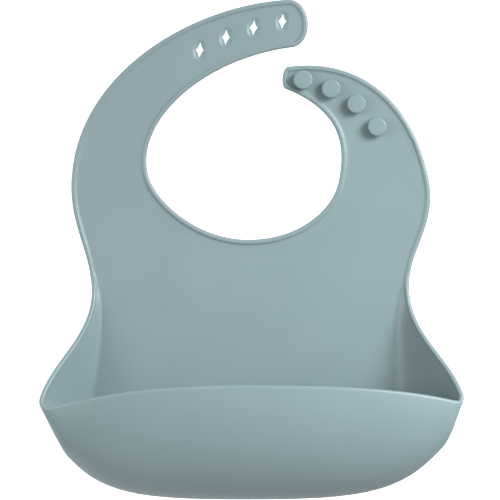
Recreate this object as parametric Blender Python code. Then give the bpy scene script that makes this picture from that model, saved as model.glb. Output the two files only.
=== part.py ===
"""Silicone bib: a flat chest panel with a neck opening, two straps and a catcher pocket.

Metres, +Z up, the front of the bib faces -Y, the back face lies in the plane Y = 0.
The origin is the centre of the neck opening.
"""

import math

import bmesh
import bpy
from mathutils import Vector

# ---------------------------------------------------------------- sheet and bead
SHEET = 0.0020
BEAD = 0.0030
BEAD_WIDTH = 0.0026
BEAD_SLOPE = 0.0008
GAP = 0.0003

# ---------------------------------------------------------------- studs and holes
FASTENER_COUNT = 4
FASTENER_PITCH = 0.0163

# ---------------------------------------------------------------- perforated strap
HOLE_ROOT = (-0.0784, -0.0150)
HOLE_ROOT_LEAN = math.radians(0.8)
HOLE_ROOT_REACH = 0.0432
HOLE_END = (0.0223, 0.0690)
HOLE_END_SLOPE = math.radians(5.3)
HOLE_END_REACH = 0.0525
HOLE_HALF_WIDTHS = (0.0215, 0.0158, 0.0152, 0.0136)
HOLE_TIP = 0.0103
HOLE_FROM_END = 0.0040
HOLE_DRIFT = 0.0017
EYE_WIDTH = 0.0046
SLIT_HEIGHT = 0.0086
SLIT_LEAN = math.radians(-4.0)
SLIT_TAPER = 2.0
COLLAR_WIDTH = 0.0074
COLLAR_HEIGHT = 0.0112
COLLAR_DEPTH = 0.0005
LIFT_FROM_END = 0.0720
LIFT_ZONE = 0.0100

# ---------------------------------------------------------------- stud strap
STUD_ROOT = (0.0746, -0.0185)
STUD_ROOT_LEAN = math.radians(2.9)
STUD_ROOT_REACH = 0.0359
STUD_END = (0.0211, 0.0385)
STUD_END_SLOPE = math.radians(173.9)
STUD_END_REACH = 0.0308
STUD_HALF_WIDTHS = (0.0254, 0.0182, 0.0147, 0.0066)
STUD_TIP = 0.0032
STUD_FROM_END = 0.0086
STUD_DRIFT = 0.0034
HEAD_RADIUS = 0.0053
HEAD_HEIGHT = 0.0022
STEM_CLEARANCE = 0.0002

# ---------------------------------------------------------------- folds of the two straps
FOLD_UNDER_STUD = 0.0008
FOLD_ZONE = 0.0120

# ---------------------------------------------------------------- chest panel
NECK_FLOOR = (-0.0010, -0.0517)
NECK_SIDE_REACH = 0.0155
NECK_FLOOR_REACH = 0.0285
WAIST_HALF = 0.0897
WAIST_LEVEL = -0.0715
SHOULDER_REACH = 0.0240
WAIST_REACH = 0.0160

# ---------------------------------------------------------------- catcher pocket
CREASE_START = 0.0042
CREASE_GAP = 0.0013
WAIST_GAP = 0.0012
CREASE_HALF = 0.0805
CREASE_FOOT_HALF = 0.0830
CREASE_SKEW = 0.0045
CREASE_FOOT_LEVEL = -0.1480
FLOOR_HALF = 0.0870
FLOOR_REACH = 0.0240
PANEL_FLOOR_LEVEL = -0.1782
CORNER_HALF = (0.1168, 0.1179)
CORNER_DEPTH = 0.0420
CORNER_LEVEL = (-0.1472, -0.1423)
CORNER_SIZE = 0.0072
EDGE_LEAN = (0.31, 0.355)
EDGE_SAG = (0.0091, 0.0048)
SEAM_SHARE = 0.008
CORNER_SHARE = 0.144
RIM_LEVEL = -0.1294
RIM_DEPTH = 0.0620
WALL_DROP = 0.0735
WALL_BULGE = 0.0040
WALL_TAPER = (0.0097, 0.0013)
WALL_FULLNESS = 3.56
CORNER_DROP = 0.0162
FLOOR_DROP = 0.0292
FLOOR_FULLNESS = 3.94
KEEL_SHARE = 0.42

# ---------------------------------------------------------------- mesh fineness
STRAP_ROWS = 26
CAP_ROWS = 7
ZONE_ROWS = 6
SHOULDER_ROWS = 12
CREASE_ROWS = 14
FLOOR_ROWS = 14
GUSSET_ROWS = 16
CORNER_ROWS = 5
FRONT_ROWS = 18
RIB_STEPS = 10
RING_SEGMENTS = 32


def bezier(p0, p1, p2, p3, t):
    u = 1.0 - t
    return p0 * (u * u * u) + p1 * (3 * u * u * t) + p2 * (3 * u * t * t) + p3 * (t * t * t)


def bezier_slope(p0, p1, p2, p3, t):
    u = 1.0 - t
    return (p1 - p0) * (3 * u * u) + (p2 - p1) * (6 * u * t) + (p3 - p2) * (3 * t * t)


def flat(x, z):
    """A point of the back plane."""
    return Vector((x, 0.0, z))


def heading(angle):
    return flat(math.cos(angle), math.sin(angle))


class Strap:
    """A band whose middle line is one smooth curve and whose half width changes along it."""

    def __init__(self, root, lean, root_reach, end, slope, end_reach, widths, outer_sign):
        up = heading(math.pi / 2 + lean)
        along = heading(slope)
        first = flat(*root)
        last = flat(*end)
        self.points = (first, first + up * root_reach, last - along * end_reach, last)
        self.widths = widths
        self.outer_sign = outer_sign
        self.lengths = [0.0]
        steps = 400
        before = self.middle(0.0)
        for k in range(1, steps + 1):
            here = self.middle(k / steps)
            self.lengths.append(self.lengths[-1] + (here - before).length)
            before = here
        self.length = self.lengths[-1]

    def middle(self, t):
        return bezier(*self.points, t)

    def along(self, t):
        return bezier_slope(*self.points, t).normalized()

    def half_width(self, t):
        return bezier(*self.widths, t)

    def outward(self, t):
        """Unit vector across the strap, away from the neck opening."""
        a = self.along(t)
        return flat(-a.z, a.x) * self.outer_sign

    def outer(self, t):
        return self.middle(t) + self.outward(t) * self.half_width(t)

    def inner(self, t):
        return self.middle(t) - self.outward(t) * self.half_width(t)

    def at_length(self, length):
        """The curve parameter at a distance from the root."""
        steps = len(self.lengths) - 1
        for k in range(steps):
            if self.lengths[k + 1] >= length:
                span = self.lengths[k + 1] - self.lengths[k]
                return (k + (length - self.lengths[k]) / span) / steps
        return 1.0

    def at_level(self, edge, level):
        """The parameter where one edge first reaches a height."""
        low = 0.0
        high = 0.5
        for _ in range(50):
            mid = (low + high) / 2
            if edge(mid).z < level:
                low = mid
            else:
                high = mid
        return (low + high) / 2

    def level_cut(self, level):
        return self.at_level(self.outer, level), self.at_level(self.inner, level)

    def square_cut(self, length):
        t = self.at_length(length)
        return t, t

    def rows(self, start, stop, count):
        """Pairs of edge points from one cut to the next."""
        made = []
        for k in range(count + 1):
            f = k / count
            outer_t = start[0] + (stop[0] - start[0]) * f
            inner_t = start[1] + (stop[1] - start[1]) * f
            made.append((self.outer(outer_t), self.inner(inner_t), 1.0))
        return made

    def cap_rows(self, tip, count):
        """Rows of the rounded tip beyond the end of the middle line."""
        centre = self.middle(1.0)
        along = self.along(1.0)
        across = self.outward(1.0) * self.half_width(1.0)
        made = []
        for k in range(1, count + 1):
            turn = math.pi / 2 * k / count
            middle = centre + along * (tip * math.sin(turn))
            side = across * math.cos(turn)
            made.append((middle + side, middle - side, math.cos(turn)))
        return made


def material(name, colour, roughness):
    made = bpy.data.materials.new(name)
    made.use_nodes = True
    shader = made.node_tree.nodes["Principled BSDF"]
    shader.inputs["Base Color"].default_value = (*colour, 1.0)
    shader.inputs["Roughness"].default_value = roughness
    shader.inputs["Metallic"].default_value = 0.0
    return made


def grid(rows, columns, point):
    """A grid of quads; point(row, column) gives each vertex and the sheet's thickness there."""
    bm = bmesh.new()
    bmesh.ops.create_grid(bm, x_segments=columns, y_segments=rows, size=1.0)
    weights = bm.verts.layers.deform.verify()
    for vert in bm.verts:
        column = round((vert.co.x + 1.0) / 2.0 * columns)
        row = round((vert.co.y + 1.0) / 2.0 * rows)
        vert.co, thickness = point(row, column)
        vert[weights][0] = thickness / BEAD
    bmesh.ops.remove_doubles(bm, verts=bm.verts, dist=0.000005)
    return bm


def sheet(name, bm, facing, finish, origin):
    """A closed sheet grown from an open surface towards the side that facing points to."""
    bm.normal_update()
    total = Vector((0, 0, 0))
    for face in bm.faces:
        total += face.normal * face.calc_area()
    if total.dot(facing) < 0:
        bmesh.ops.reverse_faces(bm, faces=bm.faces)
    bmesh.ops.translate(bm, verts=bm.verts, vec=-origin)
    made = link(name, bm, finish, origin)
    made.vertex_groups.new(name="thickness")
    shell = made.modifiers.new("sheet", "SOLIDIFY")
    shell.thickness = BEAD
    shell.offset = 1.0
    shell.vertex_group = "thickness"
    shell.thickness_vertex_group = 0.0
    shell.use_rim = True
    return made


def link(name, bm, finish, origin):
    """Turn a bmesh, already drawn about its origin, into a scene object."""
    mesh = bpy.data.meshes.new(name)
    bm.normal_update()
    bm.to_mesh(mesh)
    bm.free()
    if finish:
        mesh.materials.append(finish)
    mesh.shade_smooth()
    mesh.set_sharp_from_angle(angle=math.radians(35))
    made = bpy.data.objects.new(name, mesh)
    made.location = origin
    bpy.context.scene.collection.objects.link(made)
    return made


def across(outer, inner, shrink, outer_bead, column, spare):
    """A point on the line from one edge to the other, with the thickness there."""
    width = (outer - inner).length
    steps = [0.0, BEAD_WIDTH, BEAD_WIDTH + BEAD_SLOPE]
    steps = [step * shrink for step in steps]
    last = 2 * len(steps) + spare - 1
    if column < len(steps):
        distance = steps[column]
        raised = column < 2 and outer_bead
    elif column > last - len(steps):
        distance = width - steps[last - column]
        raised = last - column < 2
    else:
        share = (column - len(steps) + 1) / (spare + 1)
        distance = steps[-1] + (width - 2 * steps[-1]) * share
        raised = False
    direction = (inner - outer).normalized() if width > 1e-9 else Vector((0, 0, 0))
    return outer + direction * distance, BEAD if raised else SHEET


def band(name, rows, finish, origin, spare=1):
    """A flat sheet between two edges, with a raised bead along both."""
    columns = 5 + spare

    def point(row, column):
        outer, inner, shrink, outer_bead = rows[row]
        return across(outer, inner, shrink, outer_bead, column, spare)

    bm = grid(len(rows) - 1, columns, point)
    return sheet(name, bm, FRONT, finish, origin)


def prism(name, radius_x, radius_z, near, far, centre, turn, taper=1.0):
    """A cutter whose axis runs along Y: an oval, or with taper 2 a diamond with pointed ends."""
    bm = bmesh.new()
    bmesh.ops.create_cone(
        bm,
        cap_ends=True,
        segments=RING_SEGMENTS,
        radius1=1.0,
        radius2=1.0,
        depth=1.0,
    )
    for vert in bm.verts:
        x = math.copysign(abs(vert.co.x) ** taper, vert.co.x) * radius_x
        z = math.copysign(abs(vert.co.y) ** taper, vert.co.y) * radius_z
        y = far if vert.co.z > 0 else near
        spun_x = x * math.cos(turn) - z * math.sin(turn)
        spun_z = x * math.sin(turn) + z * math.cos(turn)
        vert.co = Vector((spun_x, y, spun_z))
    bm.normal_update()
    bmesh.ops.recalc_face_normals(bm, faces=bm.faces)
    return link(name, bm, None, centre)


def cut(target, cutter):
    """Take one shape out of another and keep the cutter as a hidden guide."""
    step = target.modifiers.new(cutter.name, "BOOLEAN")
    step.operation = "DIFFERENCE"
    step.solver = "EXACT"
    step.object = cutter
    cutter.hide_render = True
    cutter.display_type = "WIRE"
    cutter.parent = target.parent


def stud(name, centre, finish, parent):
    """A low mushroom: a short stem under a wide rounded head, turned about Y."""
    root = -(SHEET + GAP)
    under = root - SHEET - STEM_CLEARANCE
    top = under - HEAD_HEIGHT
    stem = EYE_WIDTH / 2 - STEM_CLEARANCE
    bm = bmesh.new()
    profile = [(0.0, root), (stem, root), (stem, under)]
    profile.append((HEAD_RADIUS * 0.93, under))
    rounds = 6
    for k in range(rounds + 1):
        turn = math.pi / 2 * k / rounds
        radius = HEAD_RADIUS * 0.62 + HEAD_RADIUS * 0.38 * math.cos(turn)
        height = under - HEAD_HEIGHT * (0.22 + 0.78 * math.sin(turn))
        profile.append((radius, height))
    profile.append((0.0, top))
    verts = [bm.verts.new((radius, height, 0.0)) for radius, height in profile]
    edges = [bm.edges.new(pair) for pair in zip(verts[:-1], verts[1:])]
    bmesh.ops.spin(
        bm,
        geom=verts + edges,
        cent=(0, 0, 0),
        axis=(0, 1, 0),
        angle=2 * math.pi,
        steps=RING_SEGMENTS,
        use_merge=True,
    )
    bmesh.ops.remove_doubles(bm, verts=bm.verts, dist=0.00002)
    bm.normal_update()
    bmesh.ops.recalc_face_normals(bm, faces=bm.faces)
    made = link(name, bm, finish, centre)
    made.parent = parent
    return made


def pivot(name, point, parent=None):
    made = bpy.data.objects.new(name, None)
    made.location = point
    bpy.context.scene.collection.objects.link(made)
    made.parent = parent
    if parent:
        made.matrix_parent_inverse = parent.matrix_basis.inverted()
    return made


def ease(f):
    return f * f * (3 - 2 * f)


def mix(a, b, f):
    return a + (b - a) * f


for old in list(bpy.data.objects):
    bpy.data.objects.remove(old, do_unlink=True)

FRONT = Vector((0, -1, 0))
SILICONE = (0.26, 0.36, 0.38)
ORIGIN = Vector((0, 0, 0))


def silicone(name, lighter=1.0):
    return material(name, tuple(min(1.0, c * lighter) for c in SILICONE), 0.45)


hole_strap = Strap(
    HOLE_ROOT, HOLE_ROOT_LEAN, HOLE_ROOT_REACH, HOLE_END, HOLE_END_SLOPE,
    HOLE_END_REACH, HOLE_HALF_WIDTHS, 1.0,
)
stud_strap = Strap(
    STUD_ROOT, STUD_ROOT_LEAN, STUD_ROOT_REACH, STUD_END, STUD_END_SLOPE,
    STUD_END_REACH, STUD_HALF_WIDTHS, -1.0,
)


def stud_centre(number):
    """The middle of a stud on the strap's front, counted from the strap's end."""
    t = stud_strap.at_length(stud_strap.length - STUD_FROM_END - number * FASTENER_PITCH)
    drift = STUD_DRIFT * (number / (FASTENER_COUNT - 1)) ** 2
    return stud_strap.middle(t) + stud_strap.outward(t) * drift


# both straps fold across one level line just under the lowest stud
fold_level = stud_centre(FASTENER_COUNT - 1).z - HEAD_RADIUS - FOLD_UNDER_STUD - FOLD_ZONE / 2


def bead_rows(rows, outer_bead=True):
    return [(outer, inner, shrink, outer_bead) for outer, inner, shrink in rows]


# ---------------------------------------------------------------- chest panel
def crease(side):
    """The crease between panel and gusset, from waist to foot, as one curve."""
    skew = CREASE_SKEW * -side
    top = flat(side * (WAIST_HALF - CREASE_START), WAIST_LEVEL)
    foot = flat(side * (CREASE_FOOT_HALF + skew), CREASE_FOOT_LEVEL)
    high = flat(side * CREASE_HALF, WAIST_LEVEL - 0.020)
    low = flat(side * (CREASE_HALF + skew * 0.3), CREASE_FOOT_LEVEL + 0.030)
    return top, high, low, foot


def floor_line(side):
    """The panel's rounded lower edge, from the crease's foot to the middle."""
    foot = crease(side)[3]
    elbow = flat(side * FLOOR_HALF, CREASE_FOOT_LEVEL - FLOOR_REACH)
    middle = flat(0.0, PANEL_FLOOR_LEVEL)
    return foot, elbow, middle + flat(side * FLOOR_HALF * 0.55, 0.0), middle


def shoulder(side, root):
    """The body's outer edge from a strap's root to the waist."""
    top = flat(side * WAIST_HALF, WAIST_LEVEL)
    strap = hole_strap if side < 0 else stud_strap
    leave = (strap.outer(0.0) - strap.outer(0.02)).normalized()
    arrive = flat(-side * 0.12, -1.0).normalized()
    return root, root + leave * SHOULDER_REACH, top - arrive * WAIST_REACH, top


def neck(side, root):
    """The neck edge from a strap's root to the lowest point of the opening."""
    strap = hole_strap if side < 0 else stud_strap
    leave = (strap.inner(0.0) - strap.inner(0.02)).normalized()
    low = flat(*NECK_FLOOR)
    return root, root + leave * NECK_SIDE_REACH, low + flat(side * NECK_FLOOR_REACH, 0.0), low


def sampled(points, count):
    """Points evenly spread by length along one curve, without its first point."""
    fine = [bezier(*points, k / 80) for k in range(81)]
    lengths = [0.0]
    for before, after in zip(fine[:-1], fine[1:]):
        lengths.append(lengths[-1] + (after - before).length)
    made = []
    k = 0
    for n in range(1, count + 1):
        want = lengths[-1] * n / count
        while k < len(lengths) - 2 and lengths[k + 1] < want:
            k += 1
        span = max(lengths[k + 1] - lengths[k], 1e-9)
        made.append(fine[k].lerp(fine[k + 1], (want - lengths[k]) / span))
    return made


def chest_half(side, strap):
    """Rows from the strap's fold down to the middle of the panel's lower edge."""
    cut_at = strap.level_cut(fold_level - FOLD_ZONE / 2 - GAP)
    rows = bead_rows(strap.rows(cut_at, (0.0, 0.0), 4))
    outer = [(spot, True) for spot in sampled(shoulder(side, strap.outer(0.0)), SHOULDER_ROWS)]
    outer.append((crease(side)[0], False))
    outer += [(spot, False) for spot in sampled(crease(side), CREASE_ROWS)]
    outer += [(spot, False) for spot in sampled(floor_line(side), FLOOR_ROWS)]
    inner = sampled(neck(side, strap.inner(0.0)), len(outer))
    for (out, bead), into in zip(outer, inner):
        rows.append((out, into, 1.0, bead))
    return rows


chest_finish = silicone("chest_silicone")
left_rows = chest_half(-1, hole_strap)
right_rows = chest_half(1, stud_strap)
right_rows.reverse()
chest = band("chest_panel", left_rows + right_rows[1:], chest_finish, ORIGIN, spare=2)

# ---------------------------------------------------------------- strap folds
fold_point = Vector((0, -SHEET / 2, fold_level))


def fold_zone(name, strap):
    low = strap.level_cut(fold_level - FOLD_ZONE / 2)
    high = strap.level_cut(fold_level + FOLD_ZONE / 2)
    return band(name, bead_rows(strap.rows(low, high, ZONE_ROWS)), silicone(name), ORIGIN)


fold_zone("hole_strap_fold_zone", hole_strap)
fold_zone("stud_strap_fold_zone", stud_strap)

hole_pivot = pivot("hole_strap_fold_axis", fold_point)
stud_pivot = pivot("stud_strap_fold_axis", fold_point)
above_fold = fold_level + FOLD_ZONE / 2 + GAP

# ---------------------------------------------------------------- perforated strap
lift_length = hole_strap.length - LIFT_FROM_END
lift_t = hole_strap.at_length(lift_length)
lift_point = hole_strap.middle(lift_t) + FRONT * (SHEET / 2)
arm_stop = hole_strap.square_cut(lift_length - LIFT_ZONE / 2 - GAP)
arm_rows = bead_rows(hole_strap.rows(hole_strap.level_cut(above_fold), arm_stop, STRAP_ROWS))
hole_arm = band("hole_strap_arm", arm_rows, silicone("hole_arm_silicone"), fold_point)
hole_arm.location = ORIGIN
hole_arm.parent = hole_pivot

zone_start = hole_strap.square_cut(lift_length - LIFT_ZONE / 2)
zone_stop = hole_strap.square_cut(lift_length + LIFT_ZONE / 2)
zone_rows = bead_rows(hole_strap.rows(zone_start, zone_stop, ZONE_ROWS))
lift_zone = band("hole_strap_lift_zone", zone_rows, silicone("lift_silicone"), fold_point)
lift_zone.location = ORIGIN
lift_zone.parent = hole_pivot

lift_pivot = pivot("hole_strap_lift_axis", lift_point - fold_point)
lift_pivot.parent = hole_pivot
end_start = hole_strap.square_cut(lift_length + LIFT_ZONE / 2 + GAP)
end_rows = hole_strap.rows(end_start, (1.0, 1.0), STRAP_ROWS)
end_rows += hole_strap.cap_rows(HOLE_TIP, CAP_ROWS)
hole_end = band("hole_strap_end", bead_rows(end_rows), silicone("hole_end_silicone"), lift_point)
hole_end.location = ORIGIN
hole_end.parent = lift_pivot
for number in range(FASTENER_COUNT):
    back = HOLE_FROM_END + number * FASTENER_PITCH
    t = hole_strap.at_length(hole_strap.length - back)
    drift = HOLE_DRIFT * (1 - number / (FASTENER_COUNT - 1))
    centre = hole_strap.middle(t) + hole_strap.outward(t) * drift - lift_point
    centre.y = -lift_point.y
    collar = prism(
        f"collar_cutter_{number + 1}", COLLAR_WIDTH / 2, COLLAR_HEIGHT / 2,
        -2 * SHEET, -(SHEET - COLLAR_DEPTH), centre, SLIT_LEAN,
    )
    slit = prism(
        f"slit_cutter_{number + 1}", EYE_WIDTH / 2, SLIT_HEIGHT / 2,
        -2 * SHEET, SHEET, centre, SLIT_LEAN, SLIT_TAPER,
    )
    for cutter in (collar, slit):
        cut(hole_end, cutter)
        cutter.parent = lift_pivot

# ---------------------------------------------------------------- stud strap
stud_rows = stud_strap.rows(stud_strap.level_cut(above_fold), (1.0, 1.0), STRAP_ROWS)
stud_rows += stud_strap.cap_rows(STUD_TIP, CAP_ROWS)
stud_arm = band("stud_strap_arm", bead_rows(stud_rows), silicone("stud_arm_silicone"), fold_point)
stud_arm.location = ORIGIN
stud_arm.parent = stud_pivot
stud_finish = silicone("stud_silicone")
for number in range(FASTENER_COUNT):
    centre = stud_centre(number) - fold_point
    stud(f"stud_{number + 1}", centre, stud_finish, stud_pivot)


# ---------------------------------------------------------------- catcher pocket
def of_side(pair, side):
    """The value of a two-sided size: hole-strap side first, stud-strap side second."""
    return pair[0] if side < 0 else pair[1]


def corner(side):
    return Vector((side * of_side(CORNER_HALF, side), -CORNER_DEPTH, of_side(CORNER_LEVEL, side)))


def free_edge(side):
    """The gusset's free edge from the waist to the start of the pocket's corner."""
    top = flat(side * WAIST_HALF, WAIST_LEVEL - WAIST_GAP)
    end = corner(side)
    arrive = Vector((side * of_side(EDGE_LEAN, side), -0.42, -0.83)).normalized()
    stop = end - arrive * CORNER_SIZE
    high = top + Vector((-side * of_side(EDGE_SAG, side), -0.003, -0.020))
    low = stop - arrive * 0.026
    return top, high, low, stop, arrive


def front_rim(side):
    """The front rim from the pocket's corner to the middle."""
    end = corner(side)
    leave = Vector((-side * 0.93, -0.30, 0.22)).normalized()
    start = end + leave * CORNER_SIZE
    middle = Vector((0, -RIM_DEPTH, RIM_LEVEL))
    return start, start + leave * 0.030, middle + Vector((side * 0.058, 0, 0)), middle, leave


def corner_turn(side):
    *_, stop, arrive = free_edge(side)
    start = front_rim(side)[0]
    leave = front_rim(side)[4]
    return stop, stop + arrive * (CORNER_SIZE * 0.6), start - leave * (CORNER_SIZE * 0.6), start


def pocket_rows(side):
    """Rim point, crease point, outward direction and progress (0 gusset, 1 middle) per row."""
    edge = free_edge(side)[:4]
    turn = corner_turn(side)
    front = front_rim(side)[:4]
    line = crease(side)
    under = floor_line(side)
    rows = []
    seam = (GUSSET_ROWS - 1) / GUSSET_ROWS
    stations = [k / GUSSET_ROWS for k in range(GUSSET_ROWS)]
    stations += [seam + SEAM_SHARE, 1.0]
    for f in stations:
        base = bezier(*line, f) - flat(0.0, WAIST_GAP * (1 - f))
        rows.append((bezier(*edge, f), base, bezier_slope(*line, f), -1.0 + f))
    for k in range(1, CORNER_ROWS + 1):
        f = k / CORNER_ROWS
        g = CORNER_SHARE * f
        rows.append((bezier(*turn, f), bezier(*under, g), bezier_slope(*under, g), 0.0 + g))
    for k in range(1, FRONT_ROWS + 1):
        f = k / FRONT_ROWS
        g = mix(CORNER_SHARE, 1.0, f)
        rows.append((bezier(*front, f), bezier(*under, g), bezier_slope(*under, g), g))
    return rows


def rib(row, side):
    """The four points of the curve from the panel's edge to the free rim."""
    rim, base, slope, progress = row
    slope = slope.normalized()
    outward = Vector((slope.z, 0, -slope.x)) * -side
    length = (rim - base).length
    reach = max(0.0, progress)
    p0 = base + outward * CREASE_GAP
    lead = mix(0.22 * length, FLOOR_DROP, 1 - (1 - reach) ** FLOOR_FULLNESS)
    p1 = base + outward * max(lead, 1.6 * CREASE_GAP)
    straight = (rim - p1) * 0.4
    fall = mix(CORNER_DROP, WALL_DROP, 1 - (1 - reach) ** WALL_FULLNESS)
    drop = Vector((side * of_side(WALL_TAPER, side) * (1 - reach), WALL_BULGE, fall))
    p2 = rim - straight.lerp(drop, min(1.0, reach * 6.0))
    return p0, p1, p2, rim


left_pocket = pocket_rows(-1)
right_pocket = pocket_rows(1)


def pocket_piece(name, entries, start, stop, finish):
    """A sheet over part of the ribs; entries are (row, side)."""
    curves = [rib(row, side) for row, side in entries]
    at_rim = stop == 1.0
    extra = 2 if at_rim else 0
    columns = RIB_STEPS + extra

    def point(row, column):
        p0, p1, p2, p3 = curves[row]
        if column <= RIB_STEPS - 1 or not at_rim:
            last = RIB_STEPS - 1 if at_rim else RIB_STEPS
            length = max((p3 - p2).length * 3, 1e-6)
            end = stop - min(0.5, (BEAD_WIDTH + BEAD_SLOPE) / length) if at_rim else stop
            share = mix(start, max(end, start), column / last)
            return bezier(p0, p1, p2, p3, share), SHEET
        length = max((p3 - p2).length * 3, 1e-6)
        if column == RIB_STEPS:
            share = 1.0 - min(0.35, BEAD_WIDTH / length)
        elif column == RIB_STEPS + 1:
            share = 1.0 - min(0.18, BEAD_WIDTH / 2 / length)
        else:
            share = 1.0
        return bezier(p0, p1, p2, p3, share), BEAD

    bm = grid(len(curves) - 1, columns, point)
    return sheet(name, bm, INSIDE[name], finish, ORIGIN)


INSIDE = {
    "gusset_hole_side": Vector((1, -0.5, 0)),
    "gusset_stud_side": Vector((-1, -0.5, 0)),
    "catcher_front_wall": Vector((0, 1, 0)),
    "catcher_keel": Vector((0, 0, 1)),
}
gusset_left = [(row, -1) for row in left_pocket[:GUSSET_ROWS]]
gusset_right = [(row, 1) for row in right_pocket[:GUSSET_ROWS]]
front_left = [(row, -1) for row in left_pocket[GUSSET_ROWS:]]
front_right = [(row, 1) for row in right_pocket[GUSSET_ROWS:]]
front_right.reverse()
front = front_left + front_right[1:]
pocket_piece("gusset_hole_side", gusset_left, 0.0, 1.0, silicone("gusset_left_silicone"))
pocket_piece("gusset_stud_side", gusset_right, 0.0, 1.0, silicone("gusset_right_silicone"))
pocket_piece("catcher_keel", front, 0.0, KEEL_SHARE, silicone("keel_silicone"))
pocket_piece("catcher_front_wall", front, KEEL_SHARE + 0.006, 1.0, silicone("wall_silicone"))
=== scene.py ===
import math

import bmesh
import bpy
import numpy as np
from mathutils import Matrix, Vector


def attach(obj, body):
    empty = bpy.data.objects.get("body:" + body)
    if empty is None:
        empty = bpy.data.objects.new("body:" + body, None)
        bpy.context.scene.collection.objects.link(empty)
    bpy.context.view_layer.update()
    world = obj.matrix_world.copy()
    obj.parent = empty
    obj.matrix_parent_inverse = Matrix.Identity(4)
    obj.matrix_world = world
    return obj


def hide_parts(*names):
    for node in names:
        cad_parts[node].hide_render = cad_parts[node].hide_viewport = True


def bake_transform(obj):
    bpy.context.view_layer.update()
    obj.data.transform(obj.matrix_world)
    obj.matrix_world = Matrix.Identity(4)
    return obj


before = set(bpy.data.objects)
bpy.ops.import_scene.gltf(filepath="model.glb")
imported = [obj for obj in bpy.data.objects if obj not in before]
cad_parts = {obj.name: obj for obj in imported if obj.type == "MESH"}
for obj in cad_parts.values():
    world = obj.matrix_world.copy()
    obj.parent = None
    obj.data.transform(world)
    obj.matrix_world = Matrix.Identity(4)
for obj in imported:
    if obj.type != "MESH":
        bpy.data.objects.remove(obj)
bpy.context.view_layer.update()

print("frame loaded")

# sizes in metres; the front of the bib faces -Y and its back lies in y = 0
sheet = {
    "thickness": 0.0020,
    "bead": 0.0028,
    "beadWidth": 0.0022,
    "beadFade": 0.0014,
    "roundSteps": 9,
    "rowStep": 0.0016,
    "rootRun": 0.012,  # length of strap below the fold that belongs to the body
    "stripStep": 0.6,  # row spacing on a bending strip, as a share of rowStep
    "stripColumns": 13,
    "ribSteps": 61,
    "sharpAngle": 40,
}
# distances of the mesh lines from an edge, close together over the bead
inward = [0.0016, 0.0020, 0.00225, 0.0025, 0.00275, 0.0030, 0.0033, 0.0040]
curveSteps = 401
slopeProbe = 0.02


def bezier(points, t):
    t = np.asarray(t, float)[..., None]
    u = 1 - t
    p = [np.asarray(q, float) for q in points]
    return p[0] * u**3 + p[1] * 3 * u * u * t + p[2] * 3 * u * t * t + p[3] * t**3


def bezierSlope(points, t):
    t = np.asarray(t, float)[..., None]
    u = 1 - t
    p = [np.asarray(q, float) for q in points]
    return (p[1] - p[0]) * 3 * u * u + (p[2] - p[1]) * 6 * u * t + (p[3] - p[2]) * 3 * t * t


def unit(v):
    v = np.asarray(v, float)
    return v / np.maximum(np.linalg.norm(v, axis=-1, keepdims=True), 1e-12)


def flat(x, z):
    return np.array([x, 0.0, z])


def heading(angle):
    return flat(math.cos(angle), math.sin(angle))


def smooth(f):
    f = np.clip(f, 0, 1)
    return f * f * (3 - 2 * f)


def mix(a, b, f):
    return a + (b - a) * f


def lengthsAlong(line):
    steps = np.linalg.norm(np.diff(line, axis=0), axis=1)
    return np.concatenate([[0], np.cumsum(steps)])


# parameters of a curve that split it into equal lengths
def sharesOf(points, count):
    shares = np.linspace(0, 1, curveSteps)
    lengths = lengthsAlong(bezier(points, shares))
    return np.interp(np.linspace(0, lengths[-1], count), lengths, shares)


def evenShares(points, step):
    length = lengthsAlong(bezier(points, np.linspace(0, 1, curveSteps)))[-1]
    return sharesOf(points, max(2, int(round(length / step))) + 1)


class Strap:
    def __init__(self, values, outerSign):
        up = heading(math.pi / 2 + math.radians(values["rootLean"]))
        along = heading(math.radians(values["endSlope"]))
        root = flat(*values["root"])
        end = flat(*values["end"])
        self.points = (root, root + up * values["rootReach"], end - along * values["endReach"], end)
        self.widths = [np.array([w]) for w in values["halfWidths"]]
        self.sign = outerSign
        self.tip = values["tip"]
        self.grid = np.linspace(0, 1, 2001)
        line = bezier(self.points, self.grid)
        self.lengths = lengthsAlong(line)
        self.length = self.lengths[-1]

    def middle(self, t):
        return bezier(self.points, t)

    def along(self, t):
        return unit(bezierSlope(self.points, t))

    def outward(self, t):
        a = self.along(t)
        return np.stack([-a[..., 2], a[..., 1], a[..., 0]], -1) * self.sign

    def outer(self, t):
        return self.middle(t) + self.outward(t) * bezier(self.widths, t)

    def inner(self, t):
        return self.middle(t) - self.outward(t) * bezier(self.widths, t)

    def atLength(self, length):
        return float(np.interp(length, self.lengths, self.grid))

    def atLevel(self, level):
        half = self.grid[: len(self.grid) // 2]
        return (
            float(np.interp(level, self.outer(half)[:, 2], half)),
            float(np.interp(level, self.inner(half)[:, 2], half)),
        )


# the two straps, as smooth bands with a changing half width
holeValues = {
    "root": (-0.0784, -0.0150),
    "rootLean": 0.8,
    "rootReach": 0.0432,
    "end": (0.0223, 0.0690),
    "endSlope": 5.3,
    "endReach": 0.0525,
    "halfWidths": (0.0215, 0.0158, 0.0152, 0.0136),
    "tip": 0.0103,
}
studValues = {
    "root": (0.0746, -0.0185),
    "rootLean": 2.9,
    "rootReach": 0.0359,
    "end": (0.0211, 0.0385),
    "endSlope": 173.9,
    "endReach": 0.0308,
    "halfWidths": (0.0254, 0.0182, 0.0147, 0.0066),
    "tip": 0.0032,
}
foldValues = {
    "level": -0.0011,
    "zone": 0.0120,
    "liftFromEnd": 0.0720,
    "liftZone": 0.0100,
    "liftInset": 0.005,
}
holeStrap = Strap(holeValues, 1.0)
studStrap = Strap(studValues, -1.0)

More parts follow.
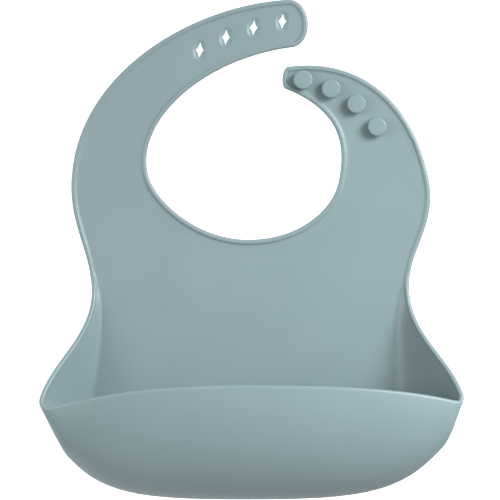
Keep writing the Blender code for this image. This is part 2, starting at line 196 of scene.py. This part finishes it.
pocket = {
    "neckFloor": (-0.0010, -0.0517),
    "neckSideReach": 0.0155,
    "neckFloorReach": 0.0285,
    "waistHalf": 0.0897,
    "waistLevel": -0.0715,
    "shoulderReach": 0.0240,
    "waistReach": 0.0160,
    "waistLean": 0.12,
    "creaseStart": 0.0048,
    "creaseHalf": 0.0805,
    "creaseFootHalf": 0.0830,
    "creaseSkew": 0.0055,
    "creaseFootLevel": -0.1480,
    "creaseBend": 0.0095,
    "creaseHighDrop": 0.020,
    "creaseLowRise": 0.030,
    "creaseLowSkew": 0.3,
    "floorHalf": 0.0870,
    "floorReach": 0.0240,
    "floorMiddleReach": 0.55,
    "floorLevel": -0.1782,
    "cornerHalf": (0.1168, 0.1179),
    "cornerDepth": 0.0420,
    "cornerLevel": (-0.1440, -0.1402),
    "cornerSize": (0.0085, 0.0060),
    "cornerShare": 0.144,
    "edgeLean": (0.27, 0.285),
    "edgeSag": (0.005, 0.003),
    "edgeStart": (-0.0045, -0.032),
    "edgeArrive": (-0.42, -0.83),
    "edgeReach": 0.026,
    "cornerReach": 0.6,
    "cornerStep": 0.45,
    "rimLevel": -0.1294,
    "rimDepth": 0.0620,
    "rimLeave": (-0.93, -0.30, 0.22),
    "rimReach": 0.030,
    "rimMiddleReach": 0.058,
    "wallDrop": 0.0735,
    "wallBulge": 0.0040,
    "wallStart": 6.0,
    "wallPull": 0.4,
    "gussetPull": 0.22,
    "wallTaper": (0.0097, 0.0013),
    "wallFullness": 3.56,
    "cornerDrop": 0.0162,
    "floorDrop": 0.0292,
    "floorFullness": 3.94,
    "turnPasses": 40,
}


def crease(side):
    v = pocket
    skew = v["creaseSkew"] * -side
    top = flat(side * (v["waistHalf"] - v["creaseStart"]), v["waistLevel"])
    foot = flat(side * (v["creaseFootHalf"] + skew), v["creaseFootLevel"])
    high = flat(side * v["creaseHalf"], v["waistLevel"] - v["creaseHighDrop"])
    lowHalf = v["creaseHalf"] + skew * v["creaseLowSkew"]
    low = flat(side * lowHalf, v["creaseFootLevel"] + v["creaseLowRise"])
    return top, high, low, foot


def floorLine(side):
    v = pocket
    foot = crease(side)[3]
    elbow = flat(side * v["floorHalf"], v["creaseFootLevel"] - v["floorReach"])
    middle = flat(0.0, v["floorLevel"])
    return foot, elbow, middle + flat(side * v["floorHalf"] * v["floorMiddleReach"], 0.0), middle


def shoulder(side, strap):
    v = pocket
    root = strap.outer(0.0)
    top = flat(side * v["waistHalf"], v["waistLevel"])
    leave = unit(strap.outer(0.0) - strap.outer(slopeProbe))
    arrive = unit(flat(-side * v["waistLean"], -1.0))
    return root, root + leave * v["shoulderReach"], top - arrive * v["waistReach"], top


def neckEdge(side, strap):
    v = pocket
    root = strap.inner(0.0)
    leave = unit(strap.inner(0.0) - strap.inner(slopeProbe))
    low = flat(*v["neckFloor"])
    beside = low + flat(side * v["neckFloorReach"], 0.0)
    return root, root + leave * v["neckSideReach"], beside, low


# the hole-strap side comes first in a pair, the stud-strap side second
def ofSide(name, side):
    return pocket[name][0 if side < 0 else 1]


def corner(side):
    half, level = ofSide("cornerHalf", side), ofSide("cornerLevel", side)
    return np.array([side * half, -pocket["cornerDepth"], level])


def freeEdge(side):
    v = pocket
    top = flat(side * v["waistHalf"], v["waistLevel"])
    arrive = unit(np.array([side * ofSide("edgeLean", side), *v["edgeArrive"]]))
    stop = corner(side) - arrive * ofSide("cornerSize", side)
    high = top + np.array([-side * ofSide("edgeSag", side), *v["edgeStart"]])
    return top, high, stop - arrive * v["edgeReach"], stop, arrive


def frontRim(side):
    v = pocket
    leave = unit(np.array(v["rimLeave"]) * (side, 1, 1))
    start = corner(side) + leave * ofSide("cornerSize", side)
    middle = np.array([0, -v["rimDepth"], v["rimLevel"]])
    beside = middle + np.array([side * v["rimMiddleReach"], 0, 0])
    return start, start + leave * v["rimReach"], beside, middle, leave


def cornerTurn(side):
    stop, arrive = freeEdge(side)[3:]
    start, leave = frontRim(side)[0], frontRim(side)[4]
    reach = ofSide("cornerSize", side) * pocket["cornerReach"]
    return stop, stop + arrive * reach, start - leave * reach, start


def straight(a, b, count=9):
    return a + (b - a) * np.linspace(0, 1, count)[:, None]


# each row of the body runs from the neck edge over the crease to the outer or free edge
def bodyRows(side, strap):
    v = pocket
    rows = []
    step = sheet["rowStep"]
    outerCut, innerCut = strap.atLevel(foldValues["level"] - foldValues["zone"] / 2)
    count = int(round(sheet["rootRun"] / step))
    for f in np.linspace(0, 1, count, endpoint=False):
        out, into = strap.outer(outerCut * (1 - f)), strap.inner(innerCut * (1 - f))
        rows.append((into, out, None, 0.0, -1.0))
    for t in evenShares(shoulder(side, strap), step)[:-1]:
        rows.append((None, bezier(shoulder(side, strap), t), None, 0.0, -1.0))
    edge, turn, front = freeEdge(side)[:4], cornerTurn(side), frontRim(side)[:4]
    line, under = crease(side), floorLine(side)
    for t in evenShares(edge, step)[:-1]:
        rows.append((None, bezier(edge, t), bezier(line, t), bezierSlope(line, t), -1.0 + t))
    for t in evenShares(turn, step * v["cornerStep"])[:-1]:
        g = v["cornerShare"] * t
        rows.append((None, bezier(turn, t), bezier(under, g), bezierSlope(under, g), g))
    for t in evenShares(front, step):
        g = mix(v["cornerShare"], 1.0, t)
        rows.append((None, bezier(front, t), bezier(under, g), bezierSlope(under, g), g))
    # the direction along the crease turns gently where it meets the floor line
    creased = [k for k, row in enumerate(rows) if row[2] is not None]
    slopes = unit(np.array([rows[k][3] for k in creased]))
    for _ in range(pocket["turnPasses"]):
        slopes[1:-1] = unit(slopes[:-2] + slopes[1:-1] * 2 + slopes[2:])
    for k, slope in zip(creased, slopes):
        rows[k] = (*rows[k][:3], slope, rows[k][4])
    neckStart = count
    left = len(rows) - neckStart
    neckPoints = neckEdge(side, strap)
    shares = sharesOf(neckPoints, left)
    made = []
    for k, (into, out, base, slope, progress) in enumerate(rows):
        if into is None:
            into = bezier(neckPoints, shares[k - neckStart])
        if base is None:
            base = out + unit(into - out) * v["creaseStart"]
            path = np.concatenate([straight(into, base), straight(base, out)[1:]])
        else:
            rib = ribPoints(base, out, slope, progress, side)
            curve = bezier(rib, np.linspace(0, 1, sheet["ribSteps"]))
            path = np.concatenate([straight(into, base), curve[1:]])
        made.append((path, np.linalg.norm(base - into)))
    return made


# the wall's curve from the crease to the rim
def ribPoints(base, rim, slope, progress, side):
    v = pocket
    slope = unit(slope)
    outward = np.array([slope[2], 0, -slope[0]]) * -side
    length = np.linalg.norm(rim - base)
    reach = max(0.0, progress)
    bend = min(v["gussetPull"] * length, v["creaseBend"])
    p1 = base + outward * mix(bend, v["floorDrop"], 1 - (1 - reach) ** v["floorFullness"])
    towards = (rim - p1) * v["wallPull"]
    fall = mix(v["cornerDrop"], v["wallDrop"], 1 - (1 - reach) ** v["wallFullness"])
    drop = np.array([side * ofSide("wallTaper", side) * (1 - reach), v["wallBulge"], fall])
    p2 = rim - mix(towards, drop, min(1.0, reach * v["wallStart"]))
    return base, p1, p2, rim


def resample(path, wanted):
    lengths = lengthsAlong(path)
    found = [np.interp(wanted, lengths, path[:, k]) for k in range(3)]
    return np.stack(found, -1), lengths[-1]


def beadThickness(distance):
    fade = smooth((distance - sheet["beadWidth"]) / sheet["beadFade"])
    return mix(sheet["bead"], sheet["thickness"], fade)


# unit normals of a grid of points, on the side that towards points to
def facing(points, towards):
    across = np.gradient(points, axis=1)
    along = np.gradient(points, axis=0)
    normal = unit(np.cross(along, across))
    if (normal * towards).sum() < 0:
        normal = -normal
    return normal


# closed loops round the sheet: back, rounded edge, front, and the other edge if it has one
def shellLoops(points, thickness, normal, firstEdge, lastEdge):
    half = thickness[..., None] / 2
    turns = np.linspace(-math.pi / 2, math.pi / 2, sheet["roundSteps"] + 2)[1:-1]

    def arc(column, outwards, order):
        radius = half[:, column]
        rounds = []
        for a in order:
            lift = normal[:, column] * (radius * (1 + math.sin(a)))
            rounds.append(points[:, column] + lift + outwards * radius * math.cos(a))
        return rounds

    loops = [points[:, c] for c in range(points.shape[1])]
    if lastEdge:
        outwards = unit(points[:, -1] - points[:, -2])
        loops += arc(-1, outwards, turns)
    front = points + normal * thickness[..., None]
    loops += [front[:, c] for c in range(points.shape[1] - 1, -1, -1)]
    if firstEdge:
        outwards = unit(points[:, 0] - points[:, 1])
        loops += arc(0, outwards, turns[::-1])
        loops.append(points[:, 0])
    return np.stack(loops, 1)


def gridMesh(bm, table):
    rows, columns = table.shape[0] - 1, table.shape[1] - 1
    made = bmesh.ops.create_grid(bm, x_segments=columns, y_segments=rows, size=1.0)
    for vert in made["verts"]:
        column = round((vert.co.x + 1) / 2 * columns)
        row = round((vert.co.y + 1) / 2 * rows)
        vert.co = table[row, column]


def finishMesh(name, bm, material, sharp=sheet["sharpAngle"]):
    bmesh.ops.remove_doubles(bm, verts=bm.verts, dist=2e-6)
    openEdges = [e for e in bm.edges if e.is_boundary]
    if openEdges:
        bmesh.ops.holes_fill(bm, edges=openEdges, sides=0)
    bm.normal_update()
    bmesh.ops.recalc_face_normals(bm, faces=bm.faces)
    mesh = bpy.data.meshes.new(name)
    bm.to_mesh(mesh)
    bm.free()
    mesh.materials.append(material)
    mesh.shade_smooth()
    mesh.set_sharp_from_angle(angle=math.radians(sharp))
    made = bpy.data.objects.new(name, mesh)
    bpy.context.scene.collection.objects.link(made)
    return made


# a shader value that takes part in plain arithmetic
class Num:
    tree = None

    def __init__(self, socket):
        self.socket = socket

    @classmethod
    def node(cls, kind, settings=None, inputs=None):
        made = cls.tree.nodes.new(kind)
        for key, value in (settings or {}).items():
            setattr(made, key, value)
        for key, value in (inputs or {}).items():
            if isinstance(value, Num):
                cls.tree.links.new(value.socket, made.inputs[key])
            elif isinstance(value, bpy.types.NodeSocket):
                cls.tree.links.new(value, made.inputs[key])
            else:
                made.inputs[key].default_value = value
        return made

    def op(self, kind, other, swap=False):
        pair = (other, self) if swap else (self, other)
        made = Num.node("ShaderNodeMath", {"operation": kind}, {0: pair[0], 1: pair[1]})
        return Num(made.outputs[0])

    def __add__(self, other):
        return self.op("ADD", other)

    def __radd__(self, other):
        return self.op("ADD", other, True)

    def __sub__(self, other):
        return self.op("SUBTRACT", other)

    def __rsub__(self, other):
        return self.op("SUBTRACT", other, True)

    def __mul__(self, other):
        return self.op("MULTIPLY", other)

    def __rmul__(self, other):
        return self.op("MULTIPLY", other, True)

    def __truediv__(self, other):
        return self.op("DIVIDE", other)

    def __rtruediv__(self, other):
        return self.op("DIVIDE", other, True)


def newMaterial(name):
    made = bpy.data.materials.new(name)
    made.use_nodes = True
    made.node_tree.nodes.clear()
    Num.tree = made.node_tree
    return made


def siliconeMaterial(name, values):
    made = newMaterial(name)
    place = Num.node("ShaderNodeTexCoord").outputs["Object"]
    cloudInputs = {"Vector": place, "Scale": values["cloudScale"], "Detail": 3.0}
    grainInputs = {"Vector": place, "Scale": values["grainScale"], "Detail": 2.0}
    cloud = Num.node("ShaderNodeTexNoise", inputs=cloudInputs)
    grain = Num.node("ShaderNodeTexNoise", inputs=grainInputs)
    colour = Num.node(
        "ShaderNodeMix",
        {"data_type": "RGBA"},
        {0: Num(cloud.outputs[0]), 6: (*values["dark"], 1), 7: (*values["light"], 1)},
    )
    lowest = values["roughness"] - values["roughSpread"] / 2
    rough = Num(grain.outputs[0]) * values["roughSpread"] + lowest
    bump = Num.node(
        "ShaderNodeBump",
        inputs={
            "Strength": values["bumpStrength"],
            "Distance": values["bumpDepth"],
            "Height": grain.outputs[0],
        },
    )
    shader = Num.node(
        "ShaderNodeBsdfPrincipled",
        inputs={
            "Base Color": colour.outputs[2],
            "Roughness": rough,
            "IOR": values["ior"],
            "Normal": bump.outputs[0],
        },
    )
    Num.node("ShaderNodeOutputMaterial", inputs={"Surface": shader.outputs[0]})
    return made


siliconeValues = {
    "dark": (0.182, 0.254, 0.272),
    "light": (0.210, 0.287, 0.304),
    "cloudScale": 26.0,
    "grainScale": 2600.0,
    "roughness": 0.36,
    "roughSpread": 0.06,
    "bumpStrength": 0.12,
    "bumpDepth": 0.00008,
    "ior": 1.42,
}
silicone = siliconeMaterial("silicone", siliconeValues)
print("silicone made")


bodyValues = {
    "panelColumns": 16,
    "bendColumns": 9,
    "wallColumns": 30,
    "bendBefore": 0.004,
    "bendAfter": 0.010,
    "bendAfterShare": 0.3,
    "clearEdge": 0.003,
    "clearRim": 0.0006,
    "clearPanel": 0.002,
}


# panel, gussets, floor and wall are one continuous sheet
def makeBody():
    v = bodyValues
    left = bodyRows(-1, holeStrap)
    right = bodyRows(1, studStrap)
    rows = left + right[::-1][1:]
    nearEdge = np.array(inward)
    points, distances = [], []
    for path, bend in rows:
        total = resample(path, np.array([0.0]))[1]
        a, b = nearEdge[-1], total - nearEdge[-1]
        bend = min(max(bend, a + v["clearEdge"]), b - v["clearRim"])
        before = max(a + v["clearPanel"], bend - v["bendBefore"])
        after = min(mix(bend, b, v["bendAfterShare"]), bend + v["bendAfter"])
        wanted = np.concatenate([
            nearEdge,
            np.linspace(a, before, v["panelColumns"] + 1)[1:],
            np.linspace(before, after, v["bendColumns"] + 1)[1:],
            np.linspace(after, b, v["wallColumns"] + 1)[1:],
            total - nearEdge[:-1][::-1],
        ])
        found, _ = resample(path, wanted)
        points.append(found)
        distances.append(np.minimum(wanted, total - wanted))
    points, distances = np.array(points), np.array(distances)
    normal = facing(points, insideHint(points))
    table = shellLoops(points, beadThickness(distances), normal, True, True)
    bm = bmesh.new()
    gridMesh(bm, table)
    return finishMesh("bib_body_skin", bm, silicone)


# where the sheet lies flat its front is towards -Y
def insideHint(points):
    hint = np.zeros_like(points)
    hint[..., 1] = np.where(points[..., 1] > -0.001, -1.0, 0.0)
    return hint


bodySkin = makeBody()
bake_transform(bodySkin)
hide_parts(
    "chest_panel", "gusset_hole_side", "gusset_stud_side", "catcher_keel", "catcher_front_wall"
)
print("body made", len(bodySkin.data.polygons))


# a plain strip of strap between two cuts
def bandPiece(name, strap, start, stop):
    span = np.linalg.norm(strap.outer(stop[0]) - strap.outer(start[0]))
    count = max(4, int(round(span / sheet["rowStep"] / sheet["stripStep"])))
    shares = np.linspace(0, 1, count + 1)
    outer = strap.outer(mix(start[0], stop[0], shares))
    inner = strap.inner(mix(start[1], stop[1], shares))
    width = np.linalg.norm(outer - inner, axis=1)
    nearEdge = np.array(inward)
    points, distances = [], []
    for k in range(len(shares)):
        wanted = np.concatenate([
            nearEdge,
            np.linspace(nearEdge[-1], width[k] - nearEdge[-1], sheet["stripColumns"])[1:],
            width[k] - nearEdge[:-1][::-1],
        ])
        direction = unit(outer[k] - inner[k])
        points.append(inner[k] + direction * wanted[:, None])
        distances.append(np.minimum(wanted, width[k] - wanted))
    points, distances = np.array(points), np.array(distances)
    normal = np.broadcast_to(np.array([0, -1.0, 0]), points.shape)
    table = shellLoops(points, beadThickness(distances), normal, True, True)
    bm = bmesh.new()
    gridMesh(bm, table)
    return finishMesh(name, bm, silicone)


tipValues = {"capSteps": 41, "innerColumns": 9, "room": 0.92, "leastSquare": 0.5}


# a strap from a cut to its rounded end: rows start on the rim and meet on the spine
def tipPiece(strap, start):
    v = tipValues
    count = int(round((1 - start[0]) * strap.length / sheet["rowStep"]))
    shares = np.linspace(0, 1, 1 + count)
    innerT, outerT = mix(start[1], 1.0, shares), mix(start[0], 1.0, shares)
    spine = (strap.inner(innerT) + strap.outer(outerT)) / 2
    edges = [strap.inner(innerT)]
    centres = [spine]
    end, along = strap.middle(1.0), strap.along(1.0)
    across = strap.outward(1.0) * strap.widths[3][0]
    turns = np.linspace(-math.pi / 2, math.pi / 2, v["capSteps"])[1:-1, None]
    edges.append(end + along * (strap.tip * np.cos(turns)) + across * np.sin(turns))
    centres.append(np.broadcast_to(end, edges[-1].shape))
    edges.append(strap.outer(outerT)[::-1])
    centres.append(spine[::-1])
    edges, centres = np.concatenate(edges), np.concatenate(centres)
    spans = np.linalg.norm(centres - edges, axis=1)
    tangent = unit(np.gradient(edges, axis=0))
    nearEdge = np.array(inward)
    points, distances = [], []
    for k in range(len(edges)):
        direction = (centres[k] - edges[k]) / max(spans[k], 1e-9)
        square = abs(direction[0] * tangent[k][2] - direction[2] * tangent[k][0])
        square = max(square, v["leastSquare"])
        near = nearEdge[0] + (nearEdge - nearEdge[0]) / square
        room = spans[k] * v["room"] - near[0]
        near = near[0] + (near - near[0]) * min(1.0, room / (near[-1] - near[0]))
        wanted = np.concatenate([near, np.linspace(near[-1], spans[k], v["innerColumns"])[1:]])
        points.append(edges[k] + direction * wanted[:, None])
        distances.append(wanted * square)
    points, distances = np.array(points), np.array(distances)
    normal = np.broadcast_to(np.array([0, -1.0, 0]), points.shape)
    table = shellLoops(points, beadThickness(distances), normal, True, False)
    # from the spine over the back to the edge and over the front to the spine again
    half = points.shape[1]
    back, front = table[:, :half][:, ::-1], table[:, half : 2 * half]
    arc = table[:, 2 * half : -1]
    table = np.concatenate([back, arc[:, ::-1], front[:, ::-1]], axis=1)
    bm = bmesh.new()
    gridMesh(bm, table)
    return bm


holes = {
    "count": 4,
    "pitch": 0.0163,
    "fromEnd": 0.0040,
    "drift": 0.0017,
    "eyeWidth": 0.0046,
    "slitHeight": 0.0088,
    "pinch": 2.7,
    "lean": -4.0,
    "dishWidth": 0.0076,
    "dishHeight": 0.0114,
    "dishDepth": 0.0008,
    "dishCurve": 0.0020,
    "cutLength": 0.01,
    "segments": 48,
    "rings": 24,
    "sharpAngle": 28,
}


def cutHoles(made, cutters):
    bpy.context.view_layer.update()
    for cutter in cutters:
        step = made.modifiers.new(cutter.name, "BOOLEAN")
        step.operation = "DIFFERENCE"
        step.solver = "EXACT"
        step.object = cutter
    graph = bpy.context.evaluated_depsgraph_get()
    mesh = bpy.data.meshes.new_from_object(made.evaluated_get(graph))
    made.modifiers.clear()
    old, made.data = made.data, mesh
    mesh.name = old.name
    for cutter in cutters:
        bpy.data.objects.remove(cutter, do_unlink=True)
    made.data.set_sharp_from_angle(angle=math.radians(holes["sharpAngle"]))


# a shallow oval dish in the front, or a pinched four-pointed slit right through
def holeCutter(kind, number, centre):
    v = holes
    lean = math.radians(v["lean"])
    bm = bmesh.new()
    if kind == "dish":
        bmesh.ops.create_uvsphere(bm, u_segments=v["segments"], v_segments=v["rings"], radius=1.0)
    else:
        bmesh.ops.create_cone(bm, cap_ends=True, segments=v["segments"], radius1=1, radius2=1, depth=1)
    deep = v["dishCurve"]
    above = deep - v["dishDepth"]
    spread = math.sqrt(1 - (above / deep) ** 2)
    for vert in bm.verts:
        if kind == "dish":
            x = vert.co.x * v["dishWidth"] / 2 / spread
            z = vert.co.y * v["dishHeight"] / 2 / spread
            y = -sheet["thickness"] - above + vert.co.z * deep
        else:
            x = math.copysign(abs(vert.co.x) ** v["pinch"], vert.co.x) * v["eyeWidth"] / 2
            z = math.copysign(abs(vert.co.y) ** v["pinch"], vert.co.y) * v["slitHeight"] / 2
            y = vert.co.z * v["cutLength"]
        across = x * math.cos(lean) - z * math.sin(lean)
        up = x * math.sin(lean) + z * math.cos(lean)
        vert.co = Vector((across, y, up))
    bmesh.ops.translate(bm, verts=bm.verts, vec=Vector(centre))
    return finishMesh(f"{kind}_{number}", bm, silicone)


low = foldValues["level"] - foldValues["zone"] / 2
high = foldValues["level"] + foldValues["zone"] / 2
holeFold = bandPiece("hole_strap_fold_skin", holeStrap, holeStrap.atLevel(low), holeStrap.atLevel(high))
studFold = bandPiece("stud_strap_fold_skin", studStrap, studStrap.atLevel(low), studStrap.atLevel(high))
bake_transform(holeFold)
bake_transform(studFold)
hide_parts("hole_strap_fold_zone")
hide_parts("stud_strap_fold_zone")

liftLength = holeStrap.length - foldValues["liftFromEnd"]
liftStart = holeStrap.atLength(liftLength - foldValues["liftZone"] / 2)
liftStop = holeStrap.atLength(liftLength + foldValues["liftZone"] / 2)
holeArm = bandPiece("hole_strap_arm_skin", holeStrap, holeStrap.atLevel(high), (liftStart, liftStart))
holeLift = bandPiece("hole_strap_lift_skin", holeStrap, (liftStart, liftStart), (liftStop, liftStop))
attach(holeArm, "hole_strap")
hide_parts("hole_strap_arm")
liftFrom = holeStrap.middle(liftStart + foldValues["liftInset"])
liftTo = holeStrap.middle(liftStop - foldValues["liftInset"])
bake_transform(holeLift)
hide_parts("hole_strap_lift_zone")

holeEnd = finishMesh("hole_strap_end_skin", tipPiece(holeStrap, (liftStop, liftStop)), silicone)
cutters = []
for number in range(holes["count"]):
    t = holeStrap.atLength(holeStrap.length - holes["fromEnd"] - number * holes["pitch"])
    drift = holes["drift"] * (1 - number / (holes["count"] - 1))
    centre = holeStrap.middle(t) + holeStrap.outward(t) * drift
    cutters += [holeCutter(kind, number, centre) for kind in ("dish", "slit")]
cutHoles(holeEnd, cutters)
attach(holeEnd, "hole_strap_tip")
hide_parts("hole_strap_end")

studArm = finishMesh("stud_strap_arm_skin", tipPiece(studStrap, studStrap.atLevel(high)), silicone)
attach(studArm, "stud_strap")
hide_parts("stud_strap_arm")

studs = {
    "count": 4,
    "pitch": 0.0163,
    "fromEnd": 0.0086,
    "drift": 0.0034,
    "headRadius": 0.0053,
    "headHeight": 0.0022,
    "stemRadius": 0.0022,
    "stemHeight": 0.0024,
    "rimRound": 0.0009,
    "underRound": 0.0005,
    "sink": 0.0003,
    "foot": 0.0008,
    "footRound": 0.0006,
    "segments": 64,
    "sharpAngle": 50,
}


# half the outline of a stud: foot, stem, underside, rounded rim and flat top
def studOutline():
    v = studs
    root = -sheet["thickness"] + v["sink"]
    under = -sheet["thickness"] - v["stemHeight"]
    top = under - v["headHeight"]
    stem, radius = v["stemRadius"], v["headRadius"]
    foot, below, rim = v["footRound"], v["underRound"], v["rimRound"]
    outline = [(0.0, root), (stem + v["foot"], root)]
    for a in np.linspace(0, math.pi / 2, 7):
        out = stem + foot * (1 - math.sin(a))
        outline.append((out, root - v["sink"] - foot * (1 - math.cos(a))))
    outline.append((stem, under))
    for a in np.linspace(0, math.pi / 2, 7):
        outline.append((radius - below + below * math.sin(a), under - below + below * math.cos(a)))
    for a in np.linspace(0, math.pi / 2, 9):
        outline.append((radius - rim + rim * math.cos(a), top + rim - rim * math.sin(a)))
    return outline + [(0.0, top)]


for number in range(studs["count"]):
    t = studStrap.atLength(studStrap.length - studs["fromEnd"] - number * studs["pitch"])
    drift = studs["drift"] * (number / (studs["count"] - 1)) ** 2
    centre = studStrap.middle(t) + studStrap.outward(t) * drift
    bm = bmesh.new()
    verts = [bm.verts.new((x, y, 0)) for x, y in studOutline()]
    lines = [bm.edges.new(pair) for pair in zip(verts[:-1], verts[1:])]
    bmesh.ops.spin(
        bm, geom=verts + lines, cent=(0, 0, 0), axis=(0, 1, 0),
        angle=2 * math.pi, steps=studs["segments"], use_merge=True,
    )
    bmesh.ops.translate(bm, verts=bm.verts, vec=Vector(centre))
    made = finishMesh(f"stud_{number + 1}_skin", bm, silicone, studs["sharpAngle"])
    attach(made, "stud_strap")
    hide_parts(f"stud_{number + 1}")
print("straps and studs made")


stage = {
    "floorLevel": -0.65,
    "floorRadius": 2.6,
    "floorTone": 0.80,
    "worldTone": 0.50,
    "backdropDistance": 2.1,
    "backdropHalf": 0.75,
    "backdropGlow": 1.15,
    "cameraDistance": 1.2,
    "cameraLevel": -0.0577,
    "viewHeight": 0.28,
}


def plainMaterial(name, tone, glow=0.0):
    made = newMaterial(name)
    shader = Num.node(
        "ShaderNodeBsdfPrincipled",
        inputs={
            "Base Color": (tone, tone, tone, 1),
            "Roughness": 0.8,
            "Emission Color": (1, 1, 1, 1),
            "Emission Strength": glow,
        },
    )
    Num.node("ShaderNodeOutputMaterial", inputs={"Surface": shader.outputs[0]})
    return made


bm = bmesh.new()
bmesh.ops.create_circle(bm, cap_ends=True, segments=96, radius=stage["floorRadius"])
bmesh.ops.translate(bm, verts=bm.verts, vec=(0, 0, stage["floorLevel"]))
floor = finishMesh("floor", bm, plainMaterial("floor_pale", stage["floorTone"]))
bm = bmesh.new()
bmesh.ops.create_grid(bm, x_segments=1, y_segments=1, size=stage["backdropHalf"])
for vert in bm.verts:
    vert.co = Vector((vert.co.x, stage["backdropDistance"], vert.co.y))
backdrop = finishMesh("backdrop", bm, plainMaterial("backdrop_white", 0.9, stage["backdropGlow"]))

world = bpy.data.worlds.new("studio")
bpy.context.scene.world = world
world.use_nodes = True
world.node_tree.nodes["Background"].inputs["Color"].default_value = (1, 1, 1, 1)
world.node_tree.nodes["Background"].inputs["Strength"].default_value = stage["worldTone"]


# place, what it points at, its two sides, watts and spread in degrees
lights = {
    "key": ((0.70, -0.58, 0.28), (0.03, 0, -0.15), (0.50, 0.50), 2.2, 62),
    "fill": ((-0.80, -0.55, 0.05), (0.05, 0, -0.12), (0.5, 0.5), 0.7, 70),
    "left_strip": ((-0.85, 0.25, 0.10), (0, 0, -0.05), (0.12, 0.9), 4.0, 180),
}
for name, (place, target, size, power, spread) in lights.items():
    data = bpy.data.lights.new(name, "AREA")
    data.shape = "RECTANGLE"
    data.size, data.size_y = size
    data.energy = power
    data.spread = math.radians(spread)
    made = bpy.data.objects.new(name, data)
    made.location = place
    made.rotation_euler = (Vector(target) - Vector(place)).to_track_quat("-Z", "Y").to_euler()
    bpy.context.scene.collection.objects.link(made)

camera = bpy.data.cameras.new("camera")
camera.sensor_width = 36.0
camera.lens = 36.0 * stage["cameraDistance"] / stage["viewHeight"]
cameraObject = bpy.data.objects.new("camera", camera)
cameraObject.location = (0, -stage["cameraDistance"], stage["cameraLevel"])
cameraObject.rotation_euler = (math.pi / 2, 0, 0)
bpy.context.scene.collection.objects.link(cameraObject)
bpy.context.scene.camera = cameraObject
bpy.context.scene.view_settings.view_transform = "Standard"

bpy.context.view_layer.update()
print("ready")
